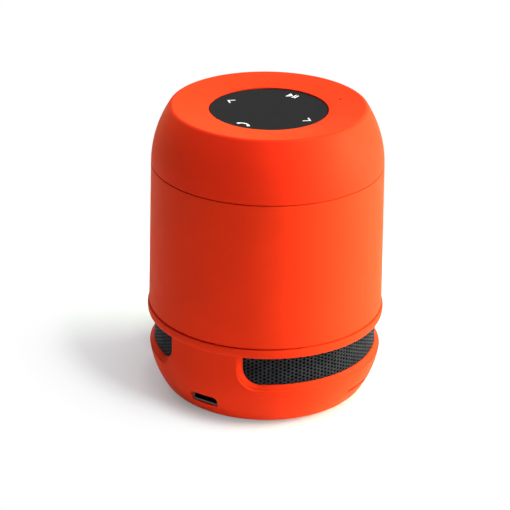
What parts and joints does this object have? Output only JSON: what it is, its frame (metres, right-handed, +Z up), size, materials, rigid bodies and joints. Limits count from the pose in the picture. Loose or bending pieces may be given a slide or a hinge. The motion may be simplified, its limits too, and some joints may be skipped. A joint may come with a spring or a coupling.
{
  "type": "portable bluetooth speaker",
  "caption": "Small round battery speaker: rounded orange cap with a touch panel, smooth sleeve, and a bowl base whose grille windows let the down-facing driver sound.",
  "frame": {"origin": "centre of the foot ring's underside, on the body's axis", "axes": "+Z up along the body's axis, -Y towards the charging port, +X towards the card slot"},
  "size_m": [0.0624, 0.0624, 0.0781],
  "materials": {
    "shell_orange": "soft-touch matt orange",
    "panel_black": "satin black",
    "adhesive": "adhesive film",
    "foam_dark": "foam",
    "board": "solder-mask green",
    "screw_steel": "plated steel",
    "rubber_black": "matt black rubber",
    "inner_black": "black moulding",
    "battery": "silver pouch",
    "wire": "wire insulation",
    "ribbon": "polyimide film",
    "driver_steel": "zinc-plated steel",
    "basket_black": "black paint",
    "ferrite": "ferrite",
    "coil_copper": "enamelled copper",
    "paper_cone": "pressed paper",
    "spider_cloth": "treated cloth",
    "mesh_grey": "dark grey perforated steel",
    "cloth_black": "acoustic cloth",
    "chip_black": "moulded chips",
    "terminal_brown": "phenolic tag"
  },
  "bodies": {
    "housing": {"top_cap": "shell_orange", "touch_panel": "panel_black", "panel_adhesive": "adhesive", "touch_pads": "foam_dark", "touch_board": "board", "board_screws": "screw_steel", "mic_boot": "rubber_black", "mic_capsule": "driver_steel", "body_sleeve": "shell_orange", "battery_tray": "inner_black", "tray_screws": "screw_steel", "battery_foam": "foam_dark", "battery_cell": "battery", "battery_leads": "wire", "touch_cable": "ribbon", "speaker_leads": "wire", "baffle": "inner_black", "driver_gasket": "foam_dark", "driver_basket": "basket_black", "driver_screws": "screw_steel", "driver_terminal": "terminal_brown", "driver_top_plate": "driver_steel", "driver_magnet": "ferrite", "driver_yoke": "driver_steel", "surround": "rubber_black", "spider": "spider_cloth", "base_shell": "shell_orange", "grille_mesh": "mesh_grey", "acoustic_cloth": "cloth_black", "sound_deflector": "inner_black", "main_pcb": "board", "pcb_screws": "screw_steel", "pcb_parts": "chip_black", "usb_shell": "driver_steel", "usb_tongue": "inner_black", "card_socket": "driver_steel", "switch_body": "inner_black", "foot_ring": "rubber_black", "base_screws": "screw_steel"},
    "knob": {"switch_knob": "inner_black"},
    "cone_set": {"voice_coil": "coil_copper", "cone": "paper_cone", "dust_cap": "paper_cone"}
  },
  "joints": [
    {"name": "switch_slide", "type": "slide", "parent": "housing", "child": "knob", "axis": [1, 0, 0], "range_m": [0, 0.002]},
    {"name": "cone_stroke", "type": "slide", "parent": "housing", "child": "cone_set", "axis": [0, 0, 1], "range_m": [-0.0008, 0.0008], "stiffness_N_per_m": 400, "deforming": ["surround", "spider"]}
  ]
}
